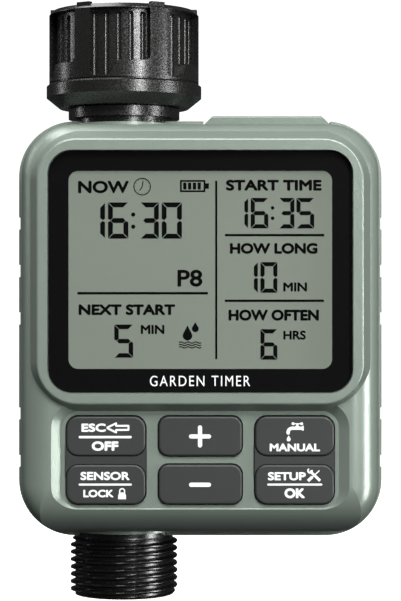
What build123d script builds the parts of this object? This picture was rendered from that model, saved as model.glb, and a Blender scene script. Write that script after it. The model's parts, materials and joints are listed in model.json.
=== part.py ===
from build123d import *
import os
from math import acos, cos, pi, radians, sin, tan

# Drip irrigation timer: a tap-mounted water controller with a motor-driven ball valve.
# Units are mm. +Z is up and the display faces -Y. The water runs down the Z axis through X=0, Y=0,
# and the origin is the centre of the swivel nut's mouth.

os.makedirs("parts", exist_ok=True)

# ---- Housing -----------------------------------------------------------------------------------
BODY_X = 18.9                 # the housing is centred to the right of the water line
BODY_TOP = -27.9
BODY_BOTTOM = -129.3
BODY_W = 88.8
BODY_H = BODY_TOP - BODY_BOTTOM
BODY_Z = (BODY_TOP + BODY_BOTTOM) / 2
BODY_CORNER = 13.7
REAR_Y = 25.0
SPLIT_Y = -6.0                # the two shells meet here
REAR_EDGE_R = 10.0
WALL = 2.0
RIM_STEP = 1.8                # the rear shell stands this far outside the front shell
FRONT_Y = -25.0
FRONT_ROLL_R = 7.0
CHIN_ROLL_R = 12.0
TONGUE_END_Y = -3.0           # the front shell's tongue slips inside the rear shell
SEAL_T = 1.2
NECK_BOSS_R = 12.95           # bosses on the front shell hug the neck and the outlet band
NECK_BOSS_SETBACK = 0.6
OUTLET_BOSS_R = 14.2          # well clear of the thread's own radius
OUTLET_BOSS_SETBACK = 1.1

# ---- Display frame, window and liquid crystal panel ----------------------------------------------
FRAME_Y = -27.0
FRAME_W = 76.6
FRAME_TOP = -33.8
FRAME_BOTTOM = -96.1
FRAME_CORNER = 9.5
FRAME_BASE_Y = -22.5
FRAME_DRAFT = 27.0
WINDOW_W = 71.85
WINDOW_H = 57.2
WINDOW_Z = -65.0
WINDOW_CORNER = 5.7
WINDOW_FACE_Y = -26.75
WINDOW_BACK_Y = -25.1
LEDGE_Y = -24.7
VIEW_Z = -64.6
LEDGE_HOLE_W = 66.4
LEDGE_HOLE_H = 51.0
LCD_W = 66.0
LCD_TOP = -39.6
LCD_BOTTOM = -93.0
LCD_FRONT_Y = -22.6
LCD_BACK_Y = -20.0

# ---- Keypad --------------------------------------------------------------------------------------
RECESS_Y = -23.4
RECESS_W = 65.5
RECESS_TOP = -97.95
RECESS_BOTTOM = -120.9
RECESS_CORNER = 4.0
RECESS_SLOPE = 56.0
KEY_W_SIDE = 18.6
KEY_W_MID = 19.6
KEY_H = 9.3
KEY_PITCH_X = 22.27
KEY_ROW_TOP = -103.8
KEY_ROW_LOW = -115.2
KEY_CORNER_SIDE = 2.8
KEY_CORNER_MID = 2.3
KEY_FACE_Y = -24.5
KEY_BACK_Y = -21.2
KEY_POST_Y = -20.1
KEY_GAP = 0.3
MAT_H = 22.0
MAT_FRONT_Y = -21.3
MAT_BACK_Y = -20.3
WEB_Y = -24.15

# ---- Circuit board -------------------------------------------------------------------------------
PCB_FRONT_Y = -17.0
PCB_T = 1.6
PCB_W = 66.0
PCB_TOP = -32.5
PCB_BOTTOM = -123.5
SWITCH_TOP_Y = -19.0
STANDOFFS = [(-29.0, -35.2), (29.0, -35.2), (-31.0, -96.2), (31.0, -96.2)]

# ---- Housing screws ------------------------------------------------------------------------------
POST_X = 36.5
POST_MID_X = 38.2
POST_TOP_Z = -36.0
POST_MID_Z = -82.0
POST_LOW_Z = -121.1
POSTS = [
    (-POST_X, POST_TOP_Z),
    (POST_X, POST_TOP_Z),
    (-POST_MID_X, POST_MID_Z),
    (POST_MID_X, POST_MID_Z),
    (-POST_X, POST_LOW_Z),
    (POST_X, POST_LOW_Z),
]
SCREW_R = 1.4
SCREW_HEAD_Y = 13.0
SCREW_TIP_Y = -15.0

# ---- Inlet ---------------------------------------------------------------------------------------
PITCH = 1.814                 # G3/4 pipe thread, 14 turns to the inch
MALE_R = 13.22                # G3/4 outside radius
MINOR_R = 12.06               # G3/4 root radius
THREAD_OPEN = 0.66            # half the width of a thread groove at its mouth
THREAD_ROOT = 0.12            # and at its bottom
NUT_R = 18.5
NUT_RIM_R = 19.15
NUT_RIM_TOP = -18.5
NUT_RIM_LOW = -21.8
NUT_CONE_R = 16.2
NUT_CONE_Z = -24.2
NUT_BOTTOM = -24.35
NUT_THREAD_END = -12.9
NUT_FLOOR = -17.8
NUT_BORE_R = 10.30
NUT_WINDOWS = 6
NUT_TURN = 269.0              # bearing of the middle of the first grip window
WINDOW_HALF = 7.26
WINDOW_TOP = -1.6
WINDOW_STEP = -14.25          # the right half of a window ends higher than the left half
WINDOW_LOW = -17.8
WINDOW_SLOPE = (-2.6, -0.5)   # a slope joins the two halves between these offsets
WINDOW_CORNER_R = 1.2
PANEL_R = 16.5                # the windows are cut back to this radius
GROOVE_R = 0.7
GROOVE_STEP = 10.3            # degrees from groove to groove
GROOVE_SHIFT = -1.5           # degrees that the row of grooves sits off the window's middle
GROOVE_TOP = -3.0
TAB = (1.4, 3.6, 1.5)
TAB_R = 17.4
COLLAR_TOP = -24.6
COLLAR_LOW = -27.0
SPIGOT_TUBE_R = 10.22
SPIGOT_FLANGE_R = 11.6
SPIGOT_TOP = -15.5
COLLAR_R = 13.73
NECK_R = 11.75
WATER_R = 7.0

# ---- Valve ---------------------------------------------------------------------------------------
VALVE_R = 13.0
VALVE_Z = -101.8              # height of the ball's centre and of the whole gear line
CHAMBER_R = 10.2
VALVE_LOW = -123.1
FLANGE_LOW = -125.4           # the outlet flange sits on the inside of the front shell
BALL_R = 8.0
BALL_BORE_R = 5.0
STEM_R = 3.0
STEM_BORE_R = 3.06
BAND_R = 12.0
OUTLET_END = -144.2
OUTLET_BORE_R = 6.8
FIRST_CREST = -131.6
CRESTS = 7

# ---- Gear train ----------------------------------------------------------------------------------
MODULE = 0.5
PRESSURE_ANGLE = 25.0
ADDENDUM = 0.8                # stub teeth, so a ten-tooth pinion isn't undercut
DEDENDUM = 1.1
BACKLASH = 0.18
PINION_T = 10
WHEEL_T = 36
OUTPUT_T = 44
GEAR_B_X = MODULE * (OUTPUT_T + PINION_T) / 2
GEAR_A_X = GEAR_B_X + MODULE * (WHEEL_T + PINION_T) / 2
MOTOR_X = GEAR_A_X + MODULE * (WHEEL_T + PINION_T) / 2
LAYER_1 = (14.6, 16.6)        # motor pinion and wheel A
LAYER_2 = (17.1, 19.1)        # pinion A and wheel B
LAYER_3 = (19.6, 22.0)        # pinion B and the output gear
PIN_R = 0.75
BASE_Y = (13.0, 14.2)
COVER_END_Y = 22.95
MOTOR_R = 7.5
MOTOR_Y = (-8.0, 13.0)

# ---- Battery drawer ------------------------------------------------------------------------------
DRAWER_X = 35.25
DRAWER_W = 29.8
DRAWER_Y = (0.2, 15.6)
LID_W = 30.5
LID_Y = (-6.0, 16.6)        # its front is flush with the rim
LID_TOP = -26.6
LID_LOW = -29.3
WELL_GAP = 0.2
WELL_WALL = 1.4
WELL_FLOOR = -87.5
CELL_R = 7.05
CELL_TOP = -33.6
CELL_L = 50.5
CELL_X = 7.12
CELL_Y = 7.4

LOW = (Align.CENTER, Align.CENTER, Align.MIN)


def facing(x, y, z):
    """A plane that looks out of the front of the timer: its own x is +X and its own y is +Z."""
    return Plane(origin=(x, y, z), x_dir=(1, 0, 0), z_dir=(0, -1, 0))


def slab(x, z, width, height, corner, y_front, y_back, mode=Mode.ADD):
    """A rounded rectangle seen from the front, running from y_front to y_back."""
    with BuildSketch(facing(x, y_front, z)) as outline:
        RectangleRounded(width, height, corner)
    extrude(outline.sketch, amount=y_front - y_back, mode=mode)


def rod_y(x, z, radius, y_front, y_back, mode=Mode.ADD):
    """A cylinder along Y."""
    with Locations(Location((x, y_front, z), (-90, 0, 0))):
        Cylinder(radius, y_back - y_front, align=LOW, mode=mode)


def rod_z(x, y, radius, z_low, z_high, mode=Mode.ADD):
    """A cylinder along Z."""
    with Locations((x, y, z_low)):
        Cylinder(radius, z_high - z_low, align=LOW, mode=mode)


def block(x_range, y_range, z_range, mode=Mode.ADD):
    """A box given by its two ends on each axis."""
    with Locations((sum(x_range) / 2, sum(y_range) / 2, sum(z_range) / 2)):
        Box(
            x_range[1] - x_range[0],
            y_range[1] - y_range[0],
            z_range[1] - z_range[0],
            mode=mode,
        )


def save(shape, name):
    """Label a finished sub-part and write its STEP file."""
    shape.part.label = name
    export_step(shape.part, "parts/" + name + ".step")


def key_columns():
    """Centre offset, width and corner radius of each column of keys."""
    return [
        (-KEY_PITCH_X, KEY_W_SIDE, KEY_CORNER_SIDE),
        (0.0, KEY_W_MID, KEY_CORNER_MID),
        (KEY_PITCH_X, KEY_W_SIDE, KEY_CORNER_SIDE),
    ]


# ---- Front shell ---------------------------------------------------------------------------------
def chin_cut(y_front, z_low, radius):
    """Cut the lower front edge to a softer roll than the other edges have."""
    side = Plane(origin=(BODY_X - BODY_W / 2, 0, 0), x_dir=(0, 1, 0), z_dir=(1, 0, 0))
    with BuildSketch(side) as corner:
        with Locations((y_front + radius, z_low + radius)):
            Rectangle(radius + 1, radius + 1, align=(Align.MAX, Align.MAX))
            Circle(radius, mode=Mode.SUBTRACT)
    extrude(corner.sketch, amount=BODY_W, mode=Mode.SUBTRACT)


def front_boss(radius, z_low, z_high):
    """The front part of a round boss on the water line, up to where the shells meet."""
    with BuildSketch(Plane.XY.offset(z_low)) as outline:
        Circle(radius)
        with Locations((0, SPLIT_Y)):
            Rectangle(2 * radius, 2 * radius, align=(Align.CENTER, Align.MIN), mode=Mode.SUBTRACT)
    extrude(outline.sketch, amount=z_high - z_low)


def make_front_shell():
    width = BODY_W - 2 * RIM_STEP
    height = BODY_H - 2 * RIM_STEP
    corner = BODY_CORNER - RIM_STEP
    with BuildPart() as hollow:
        slab(BODY_X, BODY_Z, width - 2 * WALL, height - 2 * WALL, corner - WALL,
             FRONT_Y + WALL, TONGUE_END_Y + 1)
        front_edges = hollow.faces().sort_by(Axis.Y)[0].edges()
        fillet(front_edges, FRONT_ROLL_R - WALL)
        chin_cut(FRONT_Y + WALL, BODY_BOTTOM + RIM_STEP + WALL, CHIN_ROLL_R - WALL)
        # The screw posts, the board standoffs and the pad behind the keypad stay solid.
        for post_x, post_z in POSTS:
            rod_y(BODY_X + post_x, post_z, 3.2, -16.5, TONGUE_END_Y, Mode.SUBTRACT)
        for stand_x, stand_z in STANDOFFS:
            rod_y(BODY_X + stand_x, stand_z, 1.8, FRONT_Y, PCB_FRONT_Y, Mode.SUBTRACT)
        block((BODY_X - 35.5, BODY_X + 35.5), (FRONT_Y, RECESS_Y + WALL), (-126.0, -96.0),
              Mode.SUBTRACT)
    with BuildPart() as front_shell:
        slab(BODY_X, BODY_Z, width, height, corner, FRONT_Y, SPLIT_Y)
        roll_edges = front_shell.faces().sort_by(Axis.Y)[0].edges()
        fillet(roll_edges, FRONT_ROLL_R)
        chin_cut(FRONT_Y, BODY_BOTTOM + RIM_STEP, CHIN_ROLL_R)
        tongue_inset = RIM_STEP + 0.4
        slab(BODY_X, BODY_Z, BODY_W - 2 * tongue_inset, BODY_H - 2 * tongue_inset,
             BODY_CORNER - tongue_inset, SPLIT_Y, TONGUE_END_Y)
        # Keypad recess: its sloped walls start at the front face.
        lead = 0.5
        spread = (RECESS_Y - FRONT_Y + lead) * tan(radians(RECESS_SLOPE))
        with BuildSketch(facing(BODY_X, FRONT_Y - lead, (RECESS_TOP + RECESS_BOTTOM) / 2)):
            RectangleRounded(RECESS_W + 2 * spread, RECESS_TOP - RECESS_BOTTOM + 2 * spread,
                             RECESS_CORNER + spread)
        extrude(amount=FRONT_Y - lead - RECESS_Y, taper=RECESS_SLOPE, mode=Mode.SUBTRACT)
        # Raised display frame with drafted walls.
        frame_rise = FRAME_BASE_Y - FRAME_Y
        flare = frame_rise * tan(radians(FRAME_DRAFT))
        with BuildSketch(facing(BODY_X, FRAME_BASE_Y, (FRAME_TOP + FRAME_BOTTOM) / 2)):
            RectangleRounded(FRAME_W + 2 * flare, FRAME_TOP - FRAME_BOTTOM + 2 * flare,
                             FRAME_CORNER + flare)
        extrude(amount=frame_rise, taper=FRAME_DRAFT)
        frame_edges = front_shell.faces().sort_by(Axis.Y)[0].edges()
        fillet(frame_edges, 0.6)
        front_boss(NECK_BOSS_R, BODY_TOP - RIM_STEP - 1, BODY_TOP - NECK_BOSS_SETBACK)
        front_boss(OUTLET_BOSS_R, BODY_BOTTOM + OUTLET_BOSS_SETBACK, BODY_BOTTOM + RIM_STEP + 1)
        add(hollow.part, mode=Mode.SUBTRACT)
        # Window pocket, its ledge, and the hole the display is seen through.
        slab(BODY_X, WINDOW_Z, WINDOW_W, WINDOW_H, WINDOW_CORNER, FRAME_Y - 1, LEDGE_Y,
             Mode.SUBTRACT)
        slab(BODY_X, VIEW_Z, LEDGE_HOLE_W, LEDGE_HOLE_H, 2.5, LEDGE_Y - 1, FRONT_Y + WALL + 1,
             Mode.SUBTRACT)
        # Key openings: one tall opening each side, two separate ones in the middle.
        side_h = KEY_ROW_TOP - KEY_ROW_LOW + KEY_H + 2 * KEY_GAP
        side_z = (KEY_ROW_TOP + KEY_ROW_LOW) / 2
        for column in (-KEY_PITCH_X, KEY_PITCH_X):
            slab(BODY_X + column, side_z, KEY_W_SIDE + 2 * KEY_GAP, side_h,
                 KEY_CORNER_SIDE + KEY_GAP, RECESS_Y - 1, RECESS_Y + WALL + 1, Mode.SUBTRACT)
        for row in (KEY_ROW_TOP, KEY_ROW_LOW):
            slab(BODY_X, row, KEY_W_MID + 2 * KEY_GAP, KEY_H + 2 * KEY_GAP,
                 KEY_CORNER_MID + KEY_GAP, RECESS_Y - 1, RECESS_Y + WALL + 1, Mode.SUBTRACT)
        # Pilot holes for the housing screws and the board screws.
        for post_x, post_z in POSTS:
            rod_y(BODY_X + post_x, post_z, SCREW_R + 0.03, SCREW_TIP_Y - 0.5, 0, Mode.SUBTRACT)
        for stand_x, stand_z in STANDOFFS:
            rod_y(BODY_X + stand_x, stand_z, 0.83, -20.6, PCB_FRONT_Y + 1, Mode.SUBTRACT)
        # The inlet neck and the outlet band are clamped between the two shells.
        rod_z(0, 0, NECK_R + 0.1, BODY_TOP - 8, BODY_TOP + 1, Mode.SUBTRACT)
        rod_z(0, 0, BAND_R + 0.25, BODY_BOTTOM - 1, BODY_BOTTOM + 6, Mode.SUBTRACT)
    save(front_shell, "front_shell")


# ---- Rear shell ----------------------------------------------------------------------------------
def make_rear_shell():
    well_x = (DRAWER_X - DRAWER_W / 2 - WELL_GAP, DRAWER_X + DRAWER_W / 2 + WELL_GAP)
    well_y = (DRAWER_Y[0] - WELL_GAP, DRAWER_Y[1] + WELL_GAP)
    with BuildPart() as hollow:
        slab(BODY_X, BODY_Z, BODY_W - 2 * WALL, BODY_H - 2 * WALL, BODY_CORNER - WALL,
             SPLIT_Y - 1, REAR_Y - WALL)
        back_edges = hollow.faces().sort_by(Axis.Y)[-1].edges()
        fillet(back_edges, REAR_EDGE_R - WALL)
        # A low rib all round carries the housing seal.
        with BuildSketch(facing(BODY_X, TONGUE_END_Y + SEAL_T, BODY_Z)):
            RectangleRounded(BODY_W, BODY_H, BODY_CORNER)
            RectangleRounded(BODY_W - 6.8, BODY_H - 6.8, BODY_CORNER - 3.4, mode=Mode.SUBTRACT)
        extrude(amount=-1.5, mode=Mode.SUBTRACT)
        # Screw tubes, wider at the back where the heads sink in.
        for post_x, post_z in POSTS:
            rod_y(BODY_X + post_x, post_z, 4.0, TONGUE_END_Y + SEAL_T, REAR_Y, Mode.SUBTRACT)
            rod_y(BODY_X + post_x, post_z, 4.7, SCREW_HEAD_Y - 1.5, REAR_Y, Mode.SUBTRACT)
        # The battery well.
        block((well_x[0] - WELL_WALL, well_x[1] + WELL_WALL),
              (well_y[0] - WELL_WALL, well_y[1] + WELL_WALL),
              (WELL_FLOOR - WELL_WALL, BODY_TOP), Mode.SUBTRACT)
    with BuildPart() as rear_shell:
        slab(BODY_X, BODY_Z, BODY_W, BODY_H, BODY_CORNER, SPLIT_Y, REAR_Y)
        outer_edges = rear_shell.faces().sort_by(Axis.Y)[-1].edges()
        fillet(outer_edges, REAR_EDGE_R)
        add(hollow.part, mode=Mode.SUBTRACT)
        for post_x, post_z in POSTS:
            rod_y(BODY_X + post_x, post_z, SCREW_R + 0.2, SPLIT_Y, REAR_Y, Mode.SUBTRACT)
            rod_y(BODY_X + post_x, post_z, 3.3, SCREW_HEAD_Y, REAR_Y + 1, Mode.SUBTRACT)
        # Battery drawer opening with a shallow seat for the lid.
        block(well_x, well_y, (WELL_FLOOR, BODY_TOP + 1), Mode.SUBTRACT)
        block((DRAWER_X - LID_W / 2 - 0.3, DRAWER_X + LID_W / 2 + 0.3),
              (LID_Y[0] - 0.3, LID_Y[1] + 0.3), (LID_LOW - 0.1, BODY_TOP + 1), Mode.SUBTRACT)
        rod_z(0, 0, NECK_R + 0.1, BODY_TOP - 8, BODY_TOP + 1, Mode.SUBTRACT)
        rod_z(0, 0, BAND_R + 0.25, BODY_BOTTOM - 1, BODY_BOTTOM + 6, Mode.SUBTRACT)
        # Finger notches in the rim, and fine upright grooves for grip along both sides.
        for side in (-1, 1):
            edge = BODY_X + side * BODY_W / 2
            for step in (0, 1, 2, 4, 5):
                with Locations((edge, SPLIT_Y, -52.9 - 11.65 * step)):
                    Box(0.66, 8.0, 3.0, mode=Mode.SUBTRACT)
            for groove in range(9):
                with Locations((edge, 0.5 + 1.5 * groove, -80.0)):
                    Box(0.6, 0.7, 77.6, mode=Mode.SUBTRACT)
    save(rear_shell, "rear_shell")


def make_housing_seal():
    inset = RIM_STEP + 0.4
    with BuildPart() as housing_seal:
        with BuildSketch(facing(BODY_X, TONGUE_END_Y, BODY_Z)):
            RectangleRounded(BODY_W - 2 * inset, BODY_H - 2 * inset, BODY_CORNER - inset)
            RectangleRounded(BODY_W - 2 * inset - 2.4, BODY_H - 2 * inset - 2.4,
                             BODY_CORNER - inset - 1.2, mode=Mode.SUBTRACT)
        extrude(amount=-SEAL_T)
        # It stops either side of the water line.
        rod_z(0, 0, VALVE_R + 0.3, BODY_TOP - 8, BODY_TOP + 1, Mode.SUBTRACT)
        rod_z(0, 0, VALVE_R + 0.3, BODY_BOTTOM - 1, BODY_BOTTOM + 6, Mode.SUBTRACT)
    save(housing_seal, "housing_seal")


def make_housing_screws():
    with BuildPart() as housing_screws:
        for post_x, post_z in POSTS:
            x = BODY_X + post_x
            rod_y(x, post_z, SCREW_R, SCREW_TIP_Y, SCREW_HEAD_Y)
            rod_y(x, post_z, 2.8, SCREW_HEAD_Y, SCREW_HEAD_Y + 1.9)
            with Locations((x, SCREW_HEAD_Y + 1.9, post_z)):
                Box(2.8, 2.4, 0.6, mode=Mode.SUBTRACT)
                Box(0.6, 2.4, 2.8, mode=Mode.SUBTRACT)
    save(housing_screws, "housing_screws")


# ---- Display -------------------------------------------------------------------------------------
def make_display():
    with BuildPart() as display_window:
        slab(BODY_X, WINDOW_Z, WINDOW_W - 0.16, WINDOW_H - 0.16, WINDOW_CORNER - 0.08,
             WINDOW_FACE_Y, WINDOW_BACK_Y)
        chamfer(display_window.faces().sort_by(Axis.Y)[0].edges(), 0.2)
    save(display_window, "display_window")

    with BuildPart() as window_gasket:
        with BuildSketch(facing(BODY_X, WINDOW_BACK_Y, WINDOW_Z)):
            RectangleRounded(WINDOW_W - 0.4, WINDOW_H - 0.4, WINDOW_CORNER - 0.2)
            with Locations((0, VIEW_Z - WINDOW_Z)):
                RectangleRounded(LEDGE_HOLE_W, LEDGE_HOLE_H, 2.5, mode=Mode.SUBTRACT)
        extrude(amount=WINDOW_BACK_Y - LEDGE_Y)
    save(window_gasket, "window_gasket")

    with BuildPart() as lcd_panel:
        # Two glass plates: the rear one is longer, and its lower edge carries the contacts.
        block((BODY_X - LCD_W / 2, BODY_X + LCD_W / 2), (LCD_FRONT_Y + 1.3, LCD_BACK_Y),
              (LCD_BOTTOM, LCD_TOP))
        block((BODY_X - LCD_W / 2, BODY_X + LCD_W / 2), (LCD_FRONT_Y, LCD_FRONT_Y + 1.3),
              (LCD_BOTTOM + 2.4, LCD_TOP))
    save(lcd_panel, "lcd_panel")

    lcd_z = (LCD_TOP + LCD_BOTTOM) / 2
    lcd_h = LCD_TOP - LCD_BOTTOM
    with BuildPart() as lcd_frame:
        slab(BODY_X, lcd_z, LCD_W + 2.4, lcd_h + 2.4, 1.0, LCD_FRONT_Y + 0.2, PCB_FRONT_Y)
        block((BODY_X - LCD_W / 2 - 0.05, BODY_X + LCD_W / 2 + 0.05),
              (LCD_FRONT_Y - 1, LCD_BACK_Y), (LCD_BOTTOM - 0.05, LCD_TOP + 0.05), Mode.SUBTRACT)
        slab(BODY_X, lcd_z, LCD_W - 3.0, lcd_h - 7.0, 1.0, LCD_BACK_Y - 1, PCB_FRONT_Y + 1,
             Mode.SUBTRACT)
        # Slot for the contact strip.
        block((BODY_X - 30.1, BODY_X + 30.1), (LCD_BACK_Y - 1, PCB_FRONT_Y + 1),
              (LCD_BOTTOM + 0.5, LCD_BOTTOM + 2.7), Mode.SUBTRACT)
        # Clearance for the board standoffs and their screws.
        for stand_x, stand_z in STANDOFFS:
            rod_y(BODY_X + stand_x, stand_z, 2.1, FRONT_Y, PCB_FRONT_Y + 1, Mode.SUBTRACT)
    save(lcd_frame, "lcd_frame")

    with BuildPart() as lcd_connector:
        block((BODY_X - 30.0, BODY_X + 30.0), (LCD_BACK_Y, PCB_FRONT_Y),
              (LCD_BOTTOM + 0.6, LCD_BOTTOM + 2.6))
    save(lcd_connector, "lcd_connector")


# ---- Circuit board -------------------------------------------------------------------------------
def make_board():
    back = PCB_FRONT_Y + PCB_T
    with BuildPart() as circuit_board:
        slab(BODY_X, (PCB_TOP + PCB_BOTTOM) / 2, PCB_W, PCB_TOP - PCB_BOTTOM, 3.0,
             PCB_FRONT_Y, back)
        for stand_x, stand_z in STANDOFFS:
            rod_y(BODY_X + stand_x, stand_z, 1.1, PCB_FRONT_Y - 1, back + 1, Mode.SUBTRACT)
    save(circuit_board, "circuit_board")

    with BuildPart() as board_screws:
        for stand_x, stand_z in STANDOFFS:
            rod_y(BODY_X + stand_x, stand_z, 0.8, -20.3, back)
            rod_y(BODY_X + stand_x, stand_z, 1.7, back, back + 1.2)
            with Locations((BODY_X + stand_x, back + 1.2, stand_z)):
                Box(2.0, 1.2, 0.45, mode=Mode.SUBTRACT)
                Box(0.45, 1.2, 2.0, mode=Mode.SUBTRACT)
    save(board_screws, "board_screws")

    with BuildPart() as tact_switches:
        for column, width, corner in key_columns():
            for row in (KEY_ROW_TOP, KEY_ROW_LOW):
                x = BODY_X + column
                block((x - 2.6, x + 2.6), (SWITCH_TOP_Y + 0.5, PCB_FRONT_Y),
                      (row - 2.6, row + 2.6))
                rod_y(x, row, 1.4, SWITCH_TOP_Y, SWITCH_TOP_Y + 0.6)
    save(tact_switches, "tact_switches")

    with BuildPart() as controller_chip:
        block((24.0, 34.0), (back + 0.1, back + 1.5), (-62.0, -52.0))
        for side in range(12):
            offset = -4.4 + 0.8 * side
            block((29.0 + offset - 0.15, 29.0 + offset + 0.15), (back, back + 0.6),
                  (-63.2, -50.8))
            block((22.8, 35.2), (back, back + 0.6),
                  (-57.0 + offset - 0.15, -57.0 + offset + 0.15))
    save(controller_chip, "controller_chip")

    with BuildPart() as board_capacitor:
        rod_y(26.0, -117.0, 3.15, back + 0.2, back + 8.0)
        block((22.6, 29.4), (back, back + 0.8), (-120.4, -113.6))
    save(board_capacitor, "board_capacitor")

    with BuildPart() as lead_socket:
        block((40.0, 49.0), (back, back + 4.5), (-121.0, -116.5))
        block((40.8, 48.2), (back + 1.2, back + 5.0), (-120.2, -117.3), Mode.SUBTRACT)
    save(lead_socket, "lead_socket")


# ---- Keys ----------------------------------------------------------------------------------------
def make_keypad():
    half_w = KEY_PITCH_X + KEY_W_SIDE / 2 + 1.6
    with BuildPart() as keypad_mat:
        slab(BODY_X, (KEY_ROW_TOP + KEY_ROW_LOW) / 2, 2 * half_w, MAT_H, 3.0, MAT_FRONT_Y,
             MAT_BACK_Y)
        # Between the two keys of each side column the rubber rises into the tall opening.
        for column in (-KEY_PITCH_X, KEY_PITCH_X):
            web_top = KEY_ROW_TOP - KEY_H / 2 + KEY_CORNER_SIDE
            web_low = KEY_ROW_LOW + KEY_H / 2 - KEY_CORNER_SIDE
            web_half = KEY_W_SIDE / 2 + 0.15
            block((BODY_X + column - web_half, BODY_X + column + web_half), (WEB_Y, MAT_BACK_Y),
                  (web_low, web_top))
        for column, width, corner in key_columns():
            for row in (KEY_ROW_TOP, KEY_ROW_LOW):
                slab(BODY_X + column, row, width + 0.3, KEY_H + 0.3, corner + 0.15,
                     MAT_FRONT_Y - 3, MAT_BACK_Y + 1, Mode.SUBTRACT)
        # Feet that stand on the board.
        for foot_x in (-11.1, 11.1):
            for foot_z in (-99.6, -109.5, -119.4):
                rod_y(BODY_X + foot_x, foot_z, 0.45, MAT_BACK_Y - 0.5, PCB_FRONT_Y)
    save(keypad_mat, "keypad_mat")

    names = [["key_esc_off", "key_sensor_lock"], ["key_plus", "key_minus"],
             ["key_manual", "key_setup_ok"]]
    for index, (column, width, corner) in enumerate(key_columns()):
        for name, row in zip(names[index], (KEY_ROW_TOP, KEY_ROW_LOW)):
            with BuildPart() as key:
                slab(BODY_X + column, row, width, KEY_H, corner, KEY_FACE_Y, KEY_BACK_Y)
                fillet(key.faces().sort_by(Axis.Y)[0].edges(), 0.45)
                rod_y(BODY_X + column, row, 1.5, KEY_BACK_Y - 0.5, KEY_POST_Y)
            save(key, name)


# ---- Inlet ---------------------------------------------------------------------------------------
def make_inlet_nut():
    with BuildPart() as grip_cut:
        # One grip window, as seen looking straight at it, cut back to a recessed panel.
        with BuildSketch(Plane(origin=(0, 0, 0), x_dir=(0, 1, 0), z_dir=(1, 0, 0))) as outline:
            with BuildLine():
                Polyline((-WINDOW_HALF, WINDOW_TOP), (WINDOW_HALF, WINDOW_TOP),
                         (WINDOW_HALF, WINDOW_STEP), (WINDOW_SLOPE[1], WINDOW_STEP),
                         (WINDOW_SLOPE[0], WINDOW_LOW), (-WINDOW_HALF, WINDOW_LOW), close=True)
            make_face()
            lower_corners = outline.vertices().group_by(Axis.Y)[:2]
            fillet(lower_corners[0] + lower_corners[1], WINDOW_CORNER_R)
        extrude(amount=NUT_RIM_R + 1)
        rod_z(0, 0, PANEL_R, -20, 0, Mode.SUBTRACT)
        # Round-bottomed grooves with round upper ends run down the panel.
        for step in range(5):
            turn = radians(GROOVE_STEP * (step - 2) + GROOVE_SHIFT)
            groove_x = PANEL_R * cos(turn)
            groove_y = PANEL_R * sin(turn)
            groove_low = WINDOW_LOW if step < 2 else WINDOW_STEP
            rod_z(groove_x, groove_y, GROOVE_R, groove_low, GROOVE_TOP)
            with Locations((groove_x, groove_y, GROOVE_TOP)):
                Sphere(GROOVE_R)
    with BuildPart() as inlet_nut:
        with BuildSketch(Plane.XZ):
            with BuildLine():
                Polyline((MINOR_R, 0), (13.6, 0), (13.9, -0.5), (NUT_R - 0.9, -0.5),
                         (NUT_R, -1.5), (NUT_R, NUT_RIM_TOP + 0.3),
                         (NUT_R - 0.4, NUT_RIM_TOP + 0.3), (NUT_R - 0.4, NUT_RIM_TOP),
                         (NUT_R, NUT_RIM_TOP), (NUT_RIM_R, NUT_RIM_TOP - 0.5),
                         (NUT_RIM_R, NUT_RIM_LOW), (NUT_CONE_R, NUT_CONE_Z),
                         (NUT_CONE_R - 0.2, NUT_BOTTOM), (NUT_BORE_R, NUT_BOTTOM),
                         (NUT_BORE_R, NUT_FLOOR), (MINOR_R + 0.45, NUT_FLOOR),
                         (MINOR_R + 0.45, NUT_THREAD_END), (MINOR_R, NUT_THREAD_END),
                         close=True)
            make_face()
        revolve(axis=Axis.Z)
        # Thread grooves at the true pitch, root and crest.
        for turn in range(7):
            mid = -1.1 - PITCH * turn
            with BuildSketch(Plane.XZ):
                with BuildLine():
                    Polyline((MINOR_R - 0.4, mid + THREAD_OPEN), (MINOR_R, mid + THREAD_OPEN),
                             (MALE_R + 0.05, mid + THREAD_ROOT), (MALE_R + 0.05, mid - THREAD_ROOT),
                             (MINOR_R, mid - THREAD_OPEN), (MINOR_R - 0.4, mid - THREAD_OPEN),
                             close=True)
                make_face()
            revolve(axis=Axis.Z, mode=Mode.SUBTRACT)
        for number in range(NUT_WINDOWS):
            bearing = NUT_TURN + 360 / NUT_WINDOWS * number
            add(grip_cut.part.rotate(Axis.Z, bearing), mode=Mode.SUBTRACT)
            # A small tab crowns each smooth rib.
            tab = bearing + 180 / NUT_WINDOWS
            with Locations(Location((TAB_R * cos(radians(tab)), TAB_R * sin(radians(tab)),
                                     -TAB[2] / 2), (0, 0, tab))):
                Box(*TAB)
    save(inlet_nut, "inlet_nut")


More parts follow.
